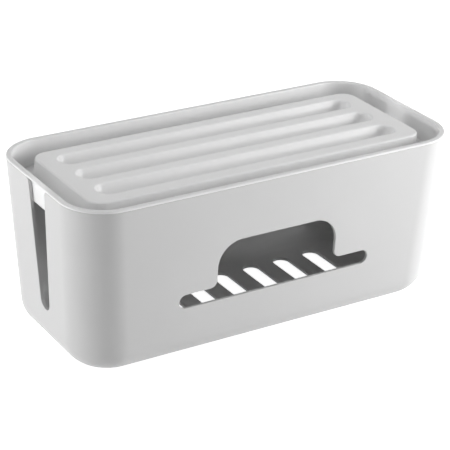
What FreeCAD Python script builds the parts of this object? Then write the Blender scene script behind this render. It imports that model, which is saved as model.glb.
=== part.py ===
import FreeCAD
import Part
import Sketcher
import math
import os
import re

# Cable management box: an open-topped moulded tub that hides a power strip and its cables,
# and a tray-shaped lid that nests in the tub's mouth.
# X runs along the box, -Y is the front with the window, +Z is up.
# The origin is the middle of the plane that the feet stand on.

SIZES = {
    # Tub, measured outside at its rim. All its walls draw in towards the base.
    "outer_length": 320.0,
    "outer_width": 145.4,
    "tub_rise": 131.3,
    "wall_draft": 3.18,
    "corner_radius": 33.7,
    "base_edge_radius": 20.2,
    "tub_wall": 2.6,
    # Front window: a long low slot with a raised dome over its middle.
    "window_sill_height": 43.0,
    "window_slot_length": 162.0,
    "window_slot_height": 11.2,
    "dome_width": 100.6,
    "dome_rise": 34.8,
    "dome_corner_radius": 19.2,
    "dome_foot_radius": 5.6,
    # Cable slot in each end wall, open at the rim and narrowing down to a round sill.
    "end_slot_offset": 3.4,
    "end_slot_sill_height": 32.1,
    "end_slot_sill_radius": 7.0,
    "end_slot_mouth_width": 25.6,
    "end_slot_mouth_radius": 3.5,
    "end_slot_count": 2,
    # Vent slots through the floor.
    "vent_count": 8,
    "vent_pitch": 28.4,
    "vent_width": 13.8,
    "vent_side_inset": 34.2,
    # Round rubber feet stuck on under the floor.
    "foot_diameter": 16.0,
    "foot_thickness": 1.5,
    "foot_chamfer": 0.6,
    "foot_end_inset": 40.0,
    "foot_side_inset": 38.7,
    # Lid: a flange on the tub's rim round a well that hangs inside the tub's mouth.
    "flange_thickness": 1.6,
    "flange_edge_chamfer": 0.6,
    "lid_clearance": 0.3,
    "lid_wall": 1.8,
    "well_depth": 19.2,
    "tray_lead_in": 1.2,
    # Platform that rises out of the well, open underneath.
    "platform_end_inset": 20.3,
    "platform_side_inset": 22.7,
    "platform_drop": 2.75,
    "platform_corner_radius": 12.0,
    "platform_draft": 5.0,
    "platform_edge_radius": 1.6,
    # Grooves in the platform that hold phones and tablets upright.
    "groove_count": 3,
    "groove_end_inset": 13.7,
    "groove_side_inset": 11.3,
    "groove_land": 11.1,
    "groove_lip_chamfer": 0.8,
}

# Two heights or places closer than this are the same one.
MATCH = 0.01
HALF_TURN = 180.0

# Heights above the tub's underside.
WINDOW_SLOT_MIDDLE = "window_sill_height + window_slot_height / 2"
WINDOW_SLOT_TOP = "window_sill_height + window_slot_height"
END_SLOT_CENTRE = "end_slot_sill_height + end_slot_sill_radius"

# What the lands and margins leave of the platform's width for each groove.
GROOVE_WIDTH = ("(outer_width - 2 * platform_side_inset - 2 * groove_side_inset"
                " - (groove_count - 1) * groove_land) / groove_count")
GROOVE_PITCH = GROOVE_WIDTH + " + groove_land"
TROUGH_DEPTH = GROOVE_WIDTH + " / 2 + lid_wall"

# Heights in the lid, above the flange's underside.
TRAY_UNDERSIDE = "flange_thickness - well_depth - lid_wall"
PLATFORM_TOP = "flange_thickness - platform_drop"
PLATFORM_CEILING = "flange_thickness - platform_drop - lid_wall"
TROUGH_UNDERSIDE = "flange_thickness - platform_drop - (%s)" % TROUGH_DEPTH

# A trough under a groove is half a regular octagon across, so its wall is even.
TROUGH_CHAMFER = "(2 - sqrt(2)) * (%s)" % TROUGH_DEPTH

# Lengths and widths that keep their distance from the outside of the rim or from each other.
VENT_LENGTH = "outer_width - 2 * vent_side_inset"
FOOT_SPACING_LENGTH = "outer_length - 2 * foot_end_inset"
FOOT_SPACING_WIDTH = "outer_width - 2 * foot_side_inset"
PLATFORM_LENGTH = "outer_length - 2 * platform_end_inset"
PLATFORM_WIDTH = "outer_width - 2 * platform_side_inset"
GROOVE_LENGTH = "outer_length - 2 * platform_end_inset - 2 * groove_end_inset"

# How far the lid's tray and its well stand in from the outside of the rim.
TRAY_INSET = "tub_wall + lid_clearance"
WELL_INSET = "tub_wall + lid_clearance + lid_wall"

FOOT_PLACES = {
    "foot_front_left": (-1, -1),
    "foot_front_right": (1, -1),
    "foot_back_left": (-1, 1),
    "foot_back_right": (1, 1),
}


def make_sheet(document):
    sheet = document.addObject("Spreadsheet::Sheet", "sizes")
    for row, (alias, value) in enumerate(SIZES.items(), start=1):
        sheet.set("A%d" % row, alias)
        sheet.set("B%d" % row, repr(value))
        sheet.setAlias("B%d" % row, alias)
    document.recompute()


def linked(text):
    """Expression text with each size's word turned into a reference to the sheet."""
    def link(found):
        word = found.group()
        return "sizes." + word if word in SIZES else word

    return re.sub("[a-z_]+", link, text)


def number(owner, text):
    """Value of an expression as a plain number."""
    result = owner.evalExpression(linked(text))
    return float(getattr(result, "Value", result))


def origin_feature(body, role):
    for feature in body.Origin.OriginFeatures:
        if feature.Role == role:
            return feature
    raise ValueError("no origin feature " + role)


def new_body(document, label, x="0", y="0", z="0"):
    body = document.addObject("PartDesign::Body", label)
    body.Label = label
    body.setExpression("Placement.Base.x", linked(x))
    body.setExpression("Placement.Base.y", linked(y))
    body.setExpression("Placement.Base.z", linked(z))
    return body


def new_sketch(body, name, plane, x="0", y="0", z="0"):
    """Sketch on an origin plane of its body, shifted by x and y in the plane and z off it."""
    sketch = body.newObject("Sketcher::SketchObject", name)
    sketch.AttachmentSupport = [(origin_feature(body, plane), "")]
    sketch.MapMode = "FlatFace"
    sketch.setExpression("AttachmentOffset.Base.x", linked(x))
    sketch.setExpression("AttachmentOffset.Base.y", linked(y))
    sketch.setExpression("AttachmentOffset.Base.z", linked(z))
    return sketch


def add_line(sketch, start, end):
    segment = Part.LineSegment(FreeCAD.Vector(*start, 0), FreeCAD.Vector(*end, 0))
    return sketch.addGeometry(segment, False)


def add_arc(sketch, centre, radius, start_turns, end_turns):
    """Arc that runs anticlockwise, its ends given in quarter turns from the x axis."""
    circle = Part.Circle(FreeCAD.Vector(*centre, 0), FreeCAD.Vector(0, 0, 1), radius)
    quarter = math.pi / 2
    return sketch.addGeometry(Part.ArcOfCircle(circle, start_turns * quarter, end_turns * quarter), False)


def constrain(sketch, *parts):
    return sketch.addConstraint(Sketcher.Constraint(*parts))


def bind(sketch, name, text, *parts):
    """Dimension that follows an expression."""
    index = constrain(sketch, *parts, number(sketch, text))
    sketch.renameConstraint(index, name)
    sketch.setExpression("Constraints." + name, linked(text))


def join_tangent(sketch, *links):
    """Each link is an element's end and the next element's start, met without a corner."""
    for first, first_end, second, second_end in links:
        constrain(sketch, "Tangent", first, first_end, second, second_end)


def draw_rectangle(sketch, length, width):
    """Rectangle centred on the sketch's origin."""
    a = number(sketch, length) / 2
    b = number(sketch, width) / 2
    corners = ((-a, -b), (a, -b), (a, b), (-a, b))
    sides = []
    for index, corner in enumerate(corners):
        sides.append(add_line(sketch, corner, corners[(index + 1) % len(corners)]))
    front, right, back, left = sides
    for index, side in enumerate(sides):
        constrain(sketch, "Coincident", side, 2, sides[(index + 1) % len(sides)], 1)
    constrain(sketch, "Horizontal", front)
    constrain(sketch, "Horizontal", back)
    constrain(sketch, "Vertical", right)
    constrain(sketch, "Vertical", left)
    constrain(sketch, "Symmetric", front, 1, back, 1, -1, 1)
    bind(sketch, "length", length, "DistanceX", front, 1, front, 2)
    bind(sketch, "width", width, "DistanceY", right, 1, right, 2)


def draw_rounded_rectangle(sketch, length, width, radius):
    """Rectangle with round corners, centred on the sketch's origin."""
    a = number(sketch, length) / 2
    b = number(sketch, width) / 2
    r = number(sketch, radius)
    front = add_line(sketch, (r - a, -b), (a - r, -b))
    front_right = add_arc(sketch, (a - r, r - b), r, 3, 4)
    right = add_line(sketch, (a, r - b), (a, b - r))
    back_right = add_arc(sketch, (a - r, b - r), r, 0, 1)
    back = add_line(sketch, (a - r, b), (r - a, b))
    back_left = add_arc(sketch, (r - a, b - r), r, 1, 2)
    left = add_line(sketch, (-a, b - r), (-a, r - b))
    front_left = add_arc(sketch, (r - a, r - b), r, 2, 3)
    loop = (front, front_right, right, back_right, back, back_left, left, front_left)
    for index, element in enumerate(loop):
        join_tangent(sketch, (element, 2, loop[(index + 1) % len(loop)], 1))
    for corner in (back_right, back_left, front_left):
        constrain(sketch, "Equal", front_right, corner)
    constrain(sketch, "Symmetric", front, 1, front, 2, -2)
    constrain(sketch, "Symmetric", right, 1, right, 2, -1)
    constrain(sketch, "Horizontal", back)
    constrain(sketch, "Vertical", left)
    bind(sketch, "length", length, "DistanceX", left, 1, right, 2)
    bind(sketch, "width", width, "DistanceY", front, 1, back, 2)
    bind(sketch, "corner_radius", radius, "Radius", front_right)


def draw_slot(sketch, length, width, upright=False):
    """Slot with half-round ends, centred on the sketch's origin."""
    r = number(sketch, width) / 2
    c = number(sketch, length) / 2 - r
    if upright:
        low = add_arc(sketch, (0, -c), r, 2, 4)
        right = add_line(sketch, (r, -c), (r, c))
        high = add_arc(sketch, (0, c), r, 0, 2)
        left = add_line(sketch, (-r, c), (-r, -c))
        axis = -2
        distance = "DistanceY"
    else:
        low = add_arc(sketch, (-c, 0), r, 1, 3)
        right = add_line(sketch, (-c, -r), (c, -r))
        high = add_arc(sketch, (c, 0), r, 3, 5)
        left = add_line(sketch, (c, r), (-c, r))
        axis = -1
        distance = "DistanceX"
    join_tangent(sketch, (low, 2, right, 1), (right, 2, high, 1), (high, 2, left, 1), (left, 2, low, 1))
    constrain(sketch, "Equal", low, high)
    constrain(sketch, "Symmetric", low, 3, high, 3, -1, 1)
    constrain(sketch, "PointOnObject", low, 3, axis)
    bind(sketch, "end_radius", "(%s) / 2" % width, "Radius", low)
    bind(sketch, "centre_distance", "(%s) - (%s)" % (length, width), distance, low, 3, high, 3)


def draw_half_slot(sketch, length, width):
    """The same slot's upper half, closed along the sketch's x axis."""
    r = number(sketch, width) / 2
    c = number(sketch, length) / 2 - r
    axis = add_line(sketch, (-c - r, 0), (c + r, 0))
    right = add_arc(sketch, (c, 0), r, 0, 1)
    side = add_line(sketch, (c, r), (-c, r))
    left = add_arc(sketch, (-c, 0), r, 1, 2)
    join_tangent(sketch, (right, 2, side, 1), (side, 2, left, 1))
    constrain(sketch, "Coincident", axis, 2, right, 1)
    constrain(sketch, "Coincident", left, 2, axis, 1)
    constrain(sketch, "Symmetric", axis, 1, axis, 2, -1, 1)
    constrain(sketch, "Horizontal", axis)
    constrain(sketch, "PointOnObject", right, 3, -1)
    constrain(sketch, "PointOnObject", left, 3, -1)
    bind(sketch, "length", length, "DistanceX", axis, 1, axis, 2)
    bind(sketch, "end_radius", "(%s) / 2" % width, "Radius", right)


def draw_dome(sketch, width, rise, radius):
    """Arched outline that stands on the sketch's x axis, with its top corners rounded."""
    a = number(sketch, width) / 2
    b = number(sketch, rise)
    r = number(sketch, radius)
    base = add_line(sketch, (-a, 0), (a, 0))
    right = add_line(sketch, (a, 0), (a, b - r))
    right_corner = add_arc(sketch, (a - r, b - r), r, 0, 1)
    top = add_line(sketch, (a - r, b), (r - a, b))
    left_corner = add_arc(sketch, (r - a, b - r), r, 1, 2)
    left = add_line(sketch, (-a, b - r), (-a, 0))
    join_tangent(sketch, (right, 2, right_corner, 1), (right_corner, 2, top, 1))
    join_tangent(sketch, (top, 2, left_corner, 1), (left_corner, 2, left, 1))
    constrain(sketch, "Coincident", base, 2, right, 1)
    constrain(sketch, "Coincident", left, 2, base, 1)
    constrain(sketch, "Symmetric", base, 1, base, 2, -1, 1)
    constrain(sketch, "Horizontal", base)
    constrain(sketch, "Horizontal", top)
    constrain(sketch, "Vertical", right)
    constrain(sketch, "Vertical", left)
    constrain(sketch, "Equal", right_corner, left_corner)
    bind(sketch, "width", width, "DistanceX", base, 1, base, 2)
    bind(sketch, "rise", rise, "DistanceY", base, 2, top, 1)
    bind(sketch, "corner_radius", radius, "Radius", right_corner)


def draw_tapered_slot(sketch, radius, rise, mouth_width):
    """Slot whose sides splay from a round sill about the sketch's origin up to a mouth."""
    r = number(sketch, radius)
    b = number(sketch, rise)
    a = number(sketch, mouth_width) / 2
    sill = add_arc(sketch, (0, 0), r, 2, 4)
    right = add_line(sketch, (r, 0), (a, b))
    mouth = add_line(sketch, (a, b), (-a, b))
    left = add_line(sketch, (-a, b), (-r, 0))
    join_tangent(sketch, (sill, 2, right, 1), (left, 2, sill, 1))
    constrain(sketch, "Coincident", right, 2, mouth, 1)
    constrain(sketch, "Coincident", mouth, 2, left, 1)
    constrain(sketch, "Coincident", sill, 3, -1, 1)
    constrain(sketch, "Symmetric", mouth, 1, mouth, 2, -2)
    bind(sketch, "sill_radius", radius, "Radius", sill)
    bind(sketch, "rise", rise, "DistanceY", sill, 3, mouth, 1)
    bind(sketch, "mouth_width", mouth_width, "DistanceX", mouth, 2, mouth, 1)


def finish(feature):
    """Work the feature out, and stop where it fails."""
    feature.Document.recompute()
    if "Invalid" in feature.State or feature.Shape.isNull():
        raise RuntimeError(feature.Name + " failed")
    return feature


def picked(kind, shapes, wanted):
    """Names of the edges or faces whose bounding box passes a test."""
    names = []
    for index, shape in enumerate(shapes, start=1):
        if wanted(shape.optimalBoundingBox(False)):
            names.append("%s%d" % (kind, index))
    if not names:
        raise RuntimeError("no %s passes the test" % kind)
    return names


def add_block(body, name, top, length, width, depth, draft, corner_radius, splayed=False):
    """Block with drafted walls and round corners that hangs from a rectangle at its top.

    The walls draw in on the way down, or stand out where the block is splayed.
    """
    outline = new_sketch(body, name + "_outline", "XY_Plane", z=top)
    draw_rectangle(outline, length, width)
    pad = body.newObject("PartDesign::Pad", name)
    pad.Profile = outline
    pad.Reversed = True
    pad.setExpression("Length", linked(depth))
    finish(pad)
    high = number(body, top)
    low = number(body, "%s - (%s)" % (top, depth))
    half_length = number(body, length) / 2
    half_width = number(body, width) / 2

    def is_wall(box):
        return spans(box, low, high) and fits(box, half_length, half_width)

    walls = body.newObject("PartDesign::Draft", name + "_walls")
    walls.Base = (pad, picked("Face", pad.Shape.Faces, is_wall))
    walls.NeutralPlane = (outline, [""])
    walls.Reversed = not splayed
    walls.setExpression("Angle", linked(draft))
    finish(walls)
    add_fillet(body, name + "_corners", corner_radius, lambda box: spans(box, low, high))


def cut_block(body, name, top, length, width, depth, draft, corner_radius, splayed=False, base_radius=None):
    """Cut the same kind of block out of the body, with a round edge at its base if wanted."""
    before = body.Shape.Volume
    tool = body.Document.addObject("PartDesign::Body", name + "_space")
    add_block(tool, name, top, length, width, depth, draft, corner_radius, splayed)
    low = number(tool, "%s - (%s)" % (top, depth))
    if base_radius is not None:
        add_fillet(tool, name + "_base_edge", base_radius, lambda box: level(box, low))
    cut = body.newObject("PartDesign::Boolean", name + "_cut")
    cut.Type = "Cut"
    cut.setObjects([tool])
    finish(cut)
    require_cut(body, before, name)


def require_cut(body, before, name):
    if not body.Shape.Volume < before:
        raise RuntimeError(name + " cuts nothing")


def add_pad(body, name, sketch, length):
    pad = body.newObject("PartDesign::Pad", name)
    pad.Profile = sketch
    pad.setExpression("Length", linked(length))
    return finish(pad)


def add_pocket(body, name, sketch, depth=None, reverse=False):
    """Pocket of a depth, or right through where no depth is given."""
    before = body.Shape.Volume
    pocket = body.newObject("PartDesign::Pocket", name)
    pocket.Profile = sketch
    pocket.Reversed = reverse
    if depth is None:
        pocket.Type = "ThroughAll"
    else:
        pocket.setExpression("Length", linked(depth))
    finish(pocket)
    require_cut(body, before, name)
    return pocket


def add_row(body, name, feature, axis, pitch, count):
    row = body.newObject("PartDesign::LinearPattern", name)
    row.Originals = [feature]
    row.Direction = (origin_feature(body, axis), [""])
    row.Mode = "Spacing"
    row.setExpression("Offset", linked(pitch))
    row.setExpression("Occurrences", linked(count))
    body.Tip = row
    return finish(row)


def add_fillet(body, name, radius, wanted):
    """Round every edge of the body whose bounding box passes a test."""
    base = body.Tip
    fillet = body.newObject("PartDesign::Fillet", name)
    fillet.Base = (base, picked("Edge", base.Shape.Edges, wanted))
    fillet.setExpression("Radius", linked(radius))
    return finish(fillet)


def add_chamfer(body, name, size, wanted):
    """Bevel every edge of the body whose bounding box passes a test."""
    base = body.Tip
    chamfer = body.newObject("PartDesign::Chamfer", name)
    chamfer.Base = (base, picked("Edge", base.Shape.Edges, wanted))
    chamfer.setExpression("Size", linked(size))
    return finish(chamfer)


def spans(box, low, high):
    """Whether a box reaches from one height to another."""
    return abs(box.ZMin - low) < MATCH and abs(box.ZMax - high) < MATCH


def level(box, height):
    """Whether a box lies flat at a height."""
    return spans(box, height, height)


def fits(box, half_length, half_width):
    """Whether a box lies within a rectangle about the middle."""
    along = max(box.XMax, -box.XMin) < half_length + MATCH
    return along and max(box.YMax, -box.YMin) < half_width + MATCH


def make_tub(document):
    body = new_body(document, "box_shell", z="foot_thickness")
    add_block(body, "outside", "tub_rise", "outer_length", "outer_width", "tub_rise",
              "wall_draft", "corner_radius")
    add_fillet(body, "base_edge", "base_edge_radius", lambda box: level(box, 0))
    cut_block(body, "inside", "tub_rise", "outer_length - 2 * tub_wall", "outer_width - 2 * tub_wall",
              "tub_rise - tub_wall", "wall_draft", "corner_radius - tub_wall",
              base_radius="base_edge_radius - tub_wall")
    cut_window(body)
    cut_end_slots(body)
    cut_vents(body)
    return body


def cut_window(body):
    slot = new_sketch(body, "window_slot_outline", "XZ_Plane", y=WINDOW_SLOT_MIDDLE)
    draw_slot(slot, "window_slot_length", "window_slot_height")
    add_pocket(body, "window_slot", slot, reverse=True)
    dome = new_sketch(body, "window_dome_outline", "XZ_Plane", y=WINDOW_SLOT_MIDDLE)
    draw_dome(dome, "dome_width", "window_slot_height / 2 + dome_rise", "dome_corner_radius")
    add_pocket(body, "window_dome", dome, reverse=True)
    half_width = number(body, "dome_width / 2")
    slot_top = number(body, WINDOW_SLOT_TOP)
    add_fillet(body, "dome_feet", "dome_foot_radius",
               lambda box: level(box, slot_top) and box.XLength < MATCH
               and abs(abs(box.XMin) - half_width) < MATCH)


def cut_end_slots(body):
    outline = new_sketch(body, "end_slot_outline", "YZ_Plane",
                         x="-1 * end_slot_offset", y=END_SLOT_CENTRE)
    draw_tapered_slot(outline, "end_slot_sill_radius", "tub_rise - (%s)" % END_SLOT_CENTRE,
                      "end_slot_mouth_width")
    pocket = add_pocket(body, "left_end_slot", outline)
    slots = body.newObject("PartDesign::PolarPattern", "end_slots")
    slots.Originals = [pocket]
    slots.Axis = (origin_feature(body, "Z_Axis"), [""])
    slots.setExpression("Occurrences", linked("end_slot_count"))
    body.Tip = slots
    finish(slots)
    rim = number(body, "tub_rise")
    reach = 2 * number(body, "tub_wall")
    add_fillet(body, "end_slot_mouths", "end_slot_mouth_radius",
               lambda box: level(box, rim) and box.YLength < MATCH and box.XLength < reach)


def cut_vents(body):
    outline = new_sketch(body, "vent_outline", "XY_Plane",
                         x="(1 - vent_count) * vent_pitch / 2")
    draw_slot(outline, VENT_LENGTH, "vent_width", upright=True)
    vent = add_pocket(body, "first_vent", outline, reverse=True)
    add_row(body, "vents", vent, "X_Axis", "vent_pitch", "vent_count")


def make_lid(document):
    body = new_body(document, "lid", z="foot_thickness + tub_rise")
    add_block(body, "tray", "0", "outer_length - 2 * (%s)" % TRAY_INSET,
              "outer_width - 2 * (%s)" % TRAY_INSET, "-1 * (%s)" % TRAY_UNDERSIDE,
              "wall_draft", "corner_radius - (%s)" % TRAY_INSET)
    underside = number(body, TRAY_UNDERSIDE)
    add_chamfer(body, "tray_edge", "tray_lead_in", lambda box: level(box, underside))
    flange_outline = new_sketch(body, "flange_outline", "XY_Plane")
    draw_rounded_rectangle(flange_outline, "outer_length", "outer_width", "corner_radius")
    add_pad(body, "flange", flange_outline, "flange_thickness")
    splay = "2 * flange_thickness * tan(wall_draft * 1 deg)"
    cut_block(body, "well", "flange_thickness", "outer_length - 2 * (%s) + %s" % (WELL_INSET, splay),
              "outer_width - 2 * (%s) + %s" % (WELL_INSET, splay), "well_depth",
              "wall_draft", "corner_radius - (%s)" % WELL_INSET)
    flange_top = number(body, "flange_thickness")
    add_chamfer(body, "flange_edges", "flange_edge_chamfer", lambda box: level(box, flange_top))
    make_platform(body)
    make_grooves(body)
    return body


def make_platform(body):
    rise = "well_depth - platform_drop"
    add_block(body, "platform", PLATFORM_TOP, PLATFORM_LENGTH, PLATFORM_WIDTH, rise,
              "platform_draft", "platform_corner_radius", splayed=True)
    top = number(body, PLATFORM_TOP)
    add_fillet(body, "platform_edge", "platform_edge_radius", lambda box: level(box, top))
    cut_block(body, "platform_hollow", PLATFORM_CEILING, PLATFORM_LENGTH + " - 2 * lid_wall",
              PLATFORM_WIDTH + " - 2 * lid_wall", rise, "platform_draft",
              "platform_corner_radius - lid_wall", splayed=True)


def make_grooves(body):
    first_place = "(1 - groove_count) * (%s) / 2" % GROOVE_PITCH
    trough_outline = new_sketch(body, "trough_outline", "XY_Plane", y=first_place, z=TROUGH_UNDERSIDE)
    draw_slot(trough_outline, GROOVE_LENGTH + " + 2 * lid_wall", GROOVE_WIDTH + " + 2 * lid_wall")
    trough = add_pad(body, "first_trough", trough_outline, TROUGH_DEPTH)
    add_row(body, "troughs", trough, "Y_Axis", GROOVE_PITCH, "groove_count")
    underside = number(body, TROUGH_UNDERSIDE)
    add_chamfer(body, "trough_edges", TROUGH_CHAMFER, lambda box: level(box, underside))
    groove_outline = new_sketch(body, "groove_outline", "XY_Plane", y=first_place, z=PLATFORM_TOP)
    draw_half_slot(groove_outline, GROOVE_LENGTH, GROOVE_WIDTH)
    before = body.Shape.Volume
    groove = body.newObject("PartDesign::Groove", "first_groove")
    groove.Profile = groove_outline
    groove.ReferenceAxis = (groove_outline, ["H_Axis"])
    groove.Angle = HALF_TURN
    groove.Reversed = True
    finish(groove)
    require_cut(body, before, "first_groove")
    add_row(body, "grooves", groove, "Y_Axis", GROOVE_PITCH, "groove_count")
    top = number(body, PLATFORM_TOP)
    half_length = number(body, GROOVE_LENGTH) / 2
    half_spread = number(body, PLATFORM_WIDTH + " - 2 * groove_side_inset") / 2
    add_chamfer(body, "groove_lips", "groove_lip_chamfer",
                lambda box: level(box, top) and fits(box, half_length, half_spread))


def make_foot(document, name, side, end):
    body = new_body(document, name, x="%d * (%s) / 2" % (side, FOOT_SPACING_LENGTH),
                    y="%d * (%s) / 2" % (end, FOOT_SPACING_WIDTH))
    outline = new_sketch(body, name + "_outline", "XY_Plane")
    radius = number(outline, "foot_diameter / 2")
    circle = outline.addGeometry(Part.Circle(FreeCAD.Vector(), FreeCAD.Vector(0, 0, 1), radius), False)
    constrain(outline, "Coincident", circle, 3, -1, 1)
    bind(outline, "radius", "foot_diameter / 2", "Radius", circle)
    add_pad(body, name + "_pad", outline, "foot_thickness")
    add_chamfer(body, name + "_edge", "foot_chamfer", lambda box: level(box, 0))
    return body


def check_document(document):
    for item in document.Objects:
        if "Invalid" in item.State or "Error" in item.State:
            raise RuntimeError("%s failed: %s" % (item.Name, item.State))


def write_parts(bodies):
    os.makedirs("parts", exist_ok=True)
    for body in bodies:
        shape = body.Shape
        if shape.isNull() or not shape.isValid() or len(shape.Solids) != 1:
            raise RuntimeError(body.Label + " is not one valid solid")
        shape.exportStep("parts/%s.step" % body.Label)
        box = shape.optimalBoundingBox(False)
        print("%-18s volume %8.1f mm3  x %.2f..%.2f  y %.2f..%.2f  z %.2f..%.2f" % (
            body.Label, shape.Volume, box.XMin, box.XMax, box.YMin, box.YMax, box.ZMin, box.ZMax))


def main():
    document = FreeCAD.newDocument("cable_management_box")
    make_sheet(document)
    bodies = [make_tub(document), make_lid(document)]
    for name, (side, end) in FOOT_PLACES.items():
        bodies.append(make_foot(document, name, side, end))
    document.recompute()
    check_document(document)
    write_parts(bodies)


main()
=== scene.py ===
import math

import bmesh
import bpy
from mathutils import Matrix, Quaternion, Vector


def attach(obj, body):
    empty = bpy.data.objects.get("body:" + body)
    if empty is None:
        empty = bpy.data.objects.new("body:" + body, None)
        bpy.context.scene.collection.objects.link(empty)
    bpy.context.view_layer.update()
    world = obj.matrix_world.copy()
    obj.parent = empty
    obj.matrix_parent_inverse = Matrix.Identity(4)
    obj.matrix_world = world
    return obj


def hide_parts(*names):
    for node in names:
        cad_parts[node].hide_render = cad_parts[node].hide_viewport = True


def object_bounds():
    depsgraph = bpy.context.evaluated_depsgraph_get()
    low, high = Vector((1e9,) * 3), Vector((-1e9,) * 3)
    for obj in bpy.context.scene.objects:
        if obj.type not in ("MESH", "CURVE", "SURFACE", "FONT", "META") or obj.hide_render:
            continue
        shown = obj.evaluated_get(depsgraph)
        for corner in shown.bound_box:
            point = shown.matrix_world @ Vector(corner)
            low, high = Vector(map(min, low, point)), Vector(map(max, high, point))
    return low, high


# Cable management box: a light grey moulded tub and a translucent white moulded lid, on rubber feet.
# +X runs to the box's right end, -Y is the front with the window, +Z is up, in metres.

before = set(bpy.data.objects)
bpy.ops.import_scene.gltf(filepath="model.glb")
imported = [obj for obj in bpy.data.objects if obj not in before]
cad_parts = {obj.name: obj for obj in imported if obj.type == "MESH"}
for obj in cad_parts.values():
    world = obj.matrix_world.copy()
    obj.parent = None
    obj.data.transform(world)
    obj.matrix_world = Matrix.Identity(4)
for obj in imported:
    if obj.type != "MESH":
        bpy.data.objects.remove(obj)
cad_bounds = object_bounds()

MM = 0.001

# The photograph's frame and the camera that looks down on the front and the left end.
FRAME_PIXELS = 450
SENSOR_WIDTH = 36.0
FOCAL_PIXELS = 1714.33
CAMERA_PLACE = Vector((-0.61987, -0.99444, 0.61569))
CAMERA_AZIMUTH = -31.82
CAMERA_ELEVATION = 25.17
CAMERA_ROLL = 1.61

# Mouldings: points closer than WELD are one, faces flatter than FLAT are one,
# and edges sharper than SHARP are rounded over.
WELD = 0.002 * MM
FLAT = math.radians(0.5)
SHARP = math.radians(28)
TUB_EDGE_ROUND = 0.35 * MM
LID_EDGE_ROUND = 0.4 * MM
EDGE_SEGMENTS = 3

# Plastics: the grain left by the spark-eroded mould, and patches of CLOUD_SIZE
# over which the tint darkens by a mottle and the roughness drifts to both sides.
TUB_GREY = (0.56, 0.56, 0.56)
TUB_ROUGHNESS = 0.38
TUB_MOTTLE = 0.02
TUB_GRAIN_SIZE = 0.45 * MM
TUB_GRAIN_HEIGHT = 0.03 * MM
LID_WHITE = (0.93, 0.93, 0.93)
LID_ROUGHNESS = 0.31
LID_MOTTLE = 0.015
LID_GRAIN_SIZE = 0.6 * MM
LID_GRAIN_HEIGHT = 0.02 * MM
PLASTIC_IOR = 1.49
CLOUD_SIZE = 40 * MM
CLOUD_DETAIL = 3.0
CLOUD_SPREAD = 0.4
ROUGHNESS_DRIFT = 0.03
GRAIN_DETAIL = 2.0
GRAIN_STRENGTH = 0.5

# Share of the light on the lid's plastic that sinks in and shines through.
LID_TRANSLUCENCY = 0.27

# Rubber of the feet.
FOOT_GREY = (0.42, 0.42, 0.42)
FOOT_ROUGHNESS = 0.8
FOOT_MOTTLE = 0.15
FOOT_SPECKLE_SIZE = 0.8 * MM
FOOT_SPECKLE_DETAIL = 2.0
FOOT_SPECKLE_HEIGHT = 0.05 * MM

# Floor: half its side, and the white that it shows even in the box's shadow.
FLOOR_REACH = 6.0
FLOOR_PALE = (0.8, 0.8, 0.8)
FLOOR_ROUGHNESS = 0.9
FLOOR_LIFT = 0.9

# Light from all round, then each softbox: azimuth and elevation in degrees,
# distance and side in metres, and watts.
ROOM_LIGHT = 0.19
SOFTBOXES = {
    "right_front_softbox": (57, 15, 1.0, 0.45, 8.1),
    "front_softbox": (36, 15, 1.0, 0.35, 1.9),
    "left_low_softbox": (-104, 6, 1.0, 0.3, 4.2),
    "left_high_softbox": (-90, 45, 1.7, 0.9, 6.4),
    "back_high_softbox": (180, 60, 1.7, 0.9, 4.5),
}


def rounded_moulding(name, node, body, material, edge_round):
    """A moulding in its CAD node's shape, with every sharp edge finely rounded over."""
    bm = bmesh.new()
    bm.from_mesh(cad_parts[node].data)
    bmesh.ops.remove_doubles(bm, verts=bm.verts, dist=WELD)
    bmesh.ops.dissolve_limit(bm, angle_limit=FLAT, use_dissolve_boundaries=False,
                             verts=bm.verts, edges=bm.edges, delimit=set())
    sharp = [edge for edge in bm.edges if edge.is_manifold and edge.calc_face_angle() > SHARP]
    bmesh.ops.bevel(bm, geom=sharp, offset=edge_round, offset_type="OFFSET", affect="EDGES",
                    segments=EDGE_SEGMENTS, profile=0.5, material=-1)
    for face in bm.faces:
        face.smooth = True
    mesh = bpy.data.meshes.new(name)
    bm.to_mesh(mesh)
    bm.free()
    mesh.materials.append(material)
    piece = bpy.data.objects.new(name, mesh)
    bpy.context.scene.collection.objects.link(piece)
    shading = piece.modifiers.new("even shading", "WEIGHTED_NORMAL")
    shading.weight = 100
    shading.keep_sharp = True
    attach(piece, body)
    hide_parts(node)


def new_material(name):
    """A material with its nodes and links."""
    material = bpy.data.materials.new(name)
    material.use_nodes = True
    return material, material.node_tree.nodes, material.node_tree.links


def add_noise(nodes, links, size, detail):
    """Noise that stays with the piece, in lumps about as wide as size."""
    place = nodes.new("ShaderNodeTexCoord")
    noise = nodes.new("ShaderNodeTexNoise")
    noise.inputs["Scale"].default_value = 1 / size
    noise.inputs["Detail"].default_value = detail
    links.new(place.outputs["Object"], noise.inputs["Vector"])
    return noise.outputs["Fac"]


def add_tint(nodes, links, noise, colour, mottle, spread=1.0):
    """The colour, darker by the mottle where the noise is low, turning over the spread in its middle."""
    tint = nodes.new("ShaderNodeValToRGB")
    dark, light = tint.color_ramp.elements
    dark.position = 0.5 - spread / 2
    light.position = 0.5 + spread / 2
    dark.color = (*[channel * (1 - mottle) for channel in colour], 1)
    light.color = (*colour, 1)
    links.new(noise, tint.inputs["Fac"])
    return tint.outputs["Color"]


def add_relief(nodes, links, noise, height, strength=1.0):
    """Fine bumps of the given height, out of the noise."""
    relief = nodes.new("ShaderNodeBump")
    relief.inputs["Strength"].default_value = strength
    relief.inputs["Distance"].default_value = height
    links.new(noise, relief.inputs["Height"])
    return relief.outputs["Normal"]


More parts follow.
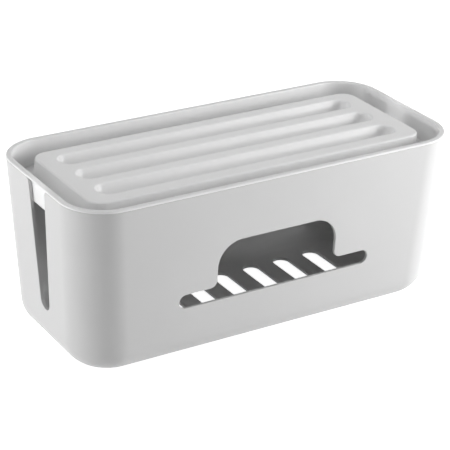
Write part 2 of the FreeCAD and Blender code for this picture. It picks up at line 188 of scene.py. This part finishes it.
def moulded_plastic(name, colour, roughness, mottle, grain_size, grain_height, translucency=0.0):
    """Satin moulded plastic: a spark-eroded grain, faint mottling, and light that shines through."""
    material, nodes, links = new_material(name)
    shader = nodes["Principled BSDF"]
    shader.inputs["IOR"].default_value = PLASTIC_IOR
    cloud = add_noise(nodes, links, CLOUD_SIZE, CLOUD_DETAIL)
    tint = add_tint(nodes, links, cloud, colour, mottle, CLOUD_SPREAD)
    links.new(tint, shader.inputs["Base Color"])

    gloss = nodes.new("ShaderNodeMapRange")
    gloss.inputs["To Min"].default_value = roughness - ROUGHNESS_DRIFT
    gloss.inputs["To Max"].default_value = roughness + ROUGHNESS_DRIFT
    links.new(cloud, gloss.inputs["Value"])
    links.new(gloss.outputs["Result"], shader.inputs["Roughness"])

    grain = add_noise(nodes, links, grain_size, GRAIN_DETAIL)
    relief = add_relief(nodes, links, grain, grain_height, GRAIN_STRENGTH)
    links.new(relief, shader.inputs["Normal"])

    if translucency:
        through = nodes.new("ShaderNodeBsdfTranslucent")
        links.new(tint, through.inputs["Color"])
        links.new(relief, through.inputs["Normal"])
        mix = nodes.new("ShaderNodeMixShader")
        mix.inputs["Fac"].default_value = translucency
        links.new(shader.outputs["BSDF"], mix.inputs[1])
        links.new(through.outputs["BSDF"], mix.inputs[2])
        links.new(mix.outputs["Shader"], nodes["Material Output"].inputs["Surface"])
    return material


def pad_rubber():
    """Matt rubber of the stick-on feet, with a coarse soft texture."""
    material, nodes, links = new_material("pad_rubber")
    shader = nodes["Principled BSDF"]
    shader.inputs["Roughness"].default_value = FOOT_ROUGHNESS
    speckle = add_noise(nodes, links, FOOT_SPECKLE_SIZE, FOOT_SPECKLE_DETAIL)
    tint = add_tint(nodes, links, speckle, FOOT_GREY, FOOT_MOTTLE)
    links.new(tint, shader.inputs["Base Color"])
    relief = add_relief(nodes, links, speckle, FOOT_SPECKLE_HEIGHT)
    links.new(relief, shader.inputs["Normal"])
    return material


def make_tub():
    """The grey tub, in its satin plastic."""
    plastic = moulded_plastic("tub_plastic", TUB_GREY, TUB_ROUGHNESS, TUB_MOTTLE,
                              TUB_GRAIN_SIZE, TUB_GRAIN_HEIGHT)
    rounded_moulding("tub", "box_shell", "box", plastic, TUB_EDGE_ROUND)


def make_lid():
    """The white lid, in a glossier plastic that light shines through."""
    plastic = moulded_plastic("lid_white_plastic", LID_WHITE, LID_ROUGHNESS, LID_MOTTLE,
                              LID_GRAIN_SIZE, LID_GRAIN_HEIGHT, LID_TRANSLUCENCY)
    rounded_moulding("lid_tray", "lid", "lid", plastic, LID_EDGE_ROUND)


def make_feet():
    """The feet's CAD nodes stay as they are and get the rubber."""
    rubber = pad_rubber()
    for name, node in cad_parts.items():
        if name.startswith("foot_"):
            node.data.materials.clear()
            node.data.materials.append(rubber)


def add_seen_rays(nodes, links):
    """Value that is 1 for a ray from the camera, a reflection or a transmission, and else 0."""
    rays = nodes.new("ShaderNodeLightPath")
    seen = rays.outputs["Is Camera Ray"]
    for kind in ("Is Glossy Ray", "Is Transmission Ray"):
        either = nodes.new("ShaderNodeMath")
        either.operation = "MAXIMUM"
        links.new(seen, either.inputs[0])
        links.new(rays.outputs[kind], either.inputs[1])
        seen = either.outputs["Value"]
    return seen


def make_floor():
    """Pale floor that looks white in the open, and a little darker in the box's shadow."""
    bm = bmesh.new()
    bmesh.ops.create_grid(bm, x_segments=1, y_segments=1, size=FLOOR_REACH)
    mesh = bpy.data.meshes.new("floor")
    bm.to_mesh(mesh)
    bm.free()
    floor = bpy.data.objects.new("floor", mesh)
    bpy.context.scene.collection.objects.link(floor)
    material, nodes, links = new_material("pale_floor")
    shader = nodes["Principled BSDF"]
    shader.inputs["Base Color"].default_value = (*FLOOR_PALE, 1)
    shader.inputs["Roughness"].default_value = FLOOR_ROUGHNESS
    lift = nodes.new("ShaderNodeMath")
    lift.operation = "MULTIPLY"
    lift.inputs[1].default_value = FLOOR_LIFT
    links.new(add_seen_rays(nodes, links), lift.inputs[0])
    glow = nodes.new("ShaderNodeEmission")
    links.new(lift.outputs["Value"], glow.inputs["Strength"])
    lifted = nodes.new("ShaderNodeAddShader")
    links.new(shader.outputs["BSDF"], lifted.inputs[0])
    links.new(glow.outputs["Emission"], lifted.inputs[1])
    links.new(lifted.outputs["Shader"], nodes["Material Output"].inputs["Surface"])
    mesh.materials.append(material)


def make_world():
    """Soft light from all round, behind a white background."""
    world = bpy.data.worlds.new("studio")
    bpy.context.scene.world = world
    world.use_nodes = True
    nodes, links = world.node_tree.nodes, world.node_tree.links
    room = nodes["Background"]
    room.inputs["Color"].default_value = (1, 1, 1, 1)
    room.inputs["Strength"].default_value = ROOM_LIGHT
    white = nodes.new("ShaderNodeBackground")
    white.inputs["Color"].default_value = (1, 1, 1, 1)
    mix = nodes.new("ShaderNodeMixShader")
    links.new(add_seen_rays(nodes, links), mix.inputs["Fac"])
    links.new(room.outputs["Background"], mix.inputs[1])
    links.new(white.outputs["Background"], mix.inputs[2])
    links.new(mix.outputs["Shader"], nodes["World Output"].inputs["Surface"])


def around(azimuth, elevation):
    """Direction from the box: azimuth 0 is the front, 90 the right end, all in degrees."""
    azimuth, elevation = math.radians(azimuth), math.radians(elevation)
    return Vector((math.sin(azimuth) * math.cos(elevation),
                   -math.cos(azimuth) * math.cos(elevation), math.sin(elevation)))


def add_softbox(name, azimuth, elevation, distance, side, watts):
    """Square lamp that faces the middle of the box."""
    lamp = bpy.data.lights.new(name, "AREA")
    lamp.shape = "SQUARE"
    lamp.size = side
    lamp.energy = watts
    holder = bpy.data.objects.new(name, lamp)
    bpy.context.scene.collection.objects.link(holder)
    out = around(azimuth, elevation)
    holder.location = (cad_bounds[0] + cad_bounds[1]) / 2 + out * distance
    holder.rotation_mode = "QUATERNION"
    holder.rotation_quaternion = out.to_track_quat("Z", "Y")


def make_camera():
    """The camera that sees the box as the photograph does."""
    data = bpy.data.cameras.new("camera")
    data.sensor_width = SENSOR_WIDTH
    data.lens = FOCAL_PIXELS * SENSOR_WIDTH / FRAME_PIXELS
    camera = bpy.data.objects.new("camera", data)
    bpy.context.scene.collection.objects.link(camera)
    camera.location = CAMERA_PLACE
    camera.rotation_mode = "QUATERNION"
    back = around(CAMERA_AZIMUTH, CAMERA_ELEVATION)
    level = back.to_track_quat("Z", "Y")
    camera.rotation_quaternion = level @ Quaternion((0, 0, 1), math.radians(CAMERA_ROLL))
    bpy.context.scene.camera = camera


make_camera()
make_tub()
make_lid()
make_feet()
make_floor()
make_world()
for name, (azimuth, elevation, distance, side, watts) in SOFTBOXES.items():
    add_softbox(name, azimuth, elevation, distance, side, watts)
bpy.context.scene.view_settings.view_transform = "Standard"
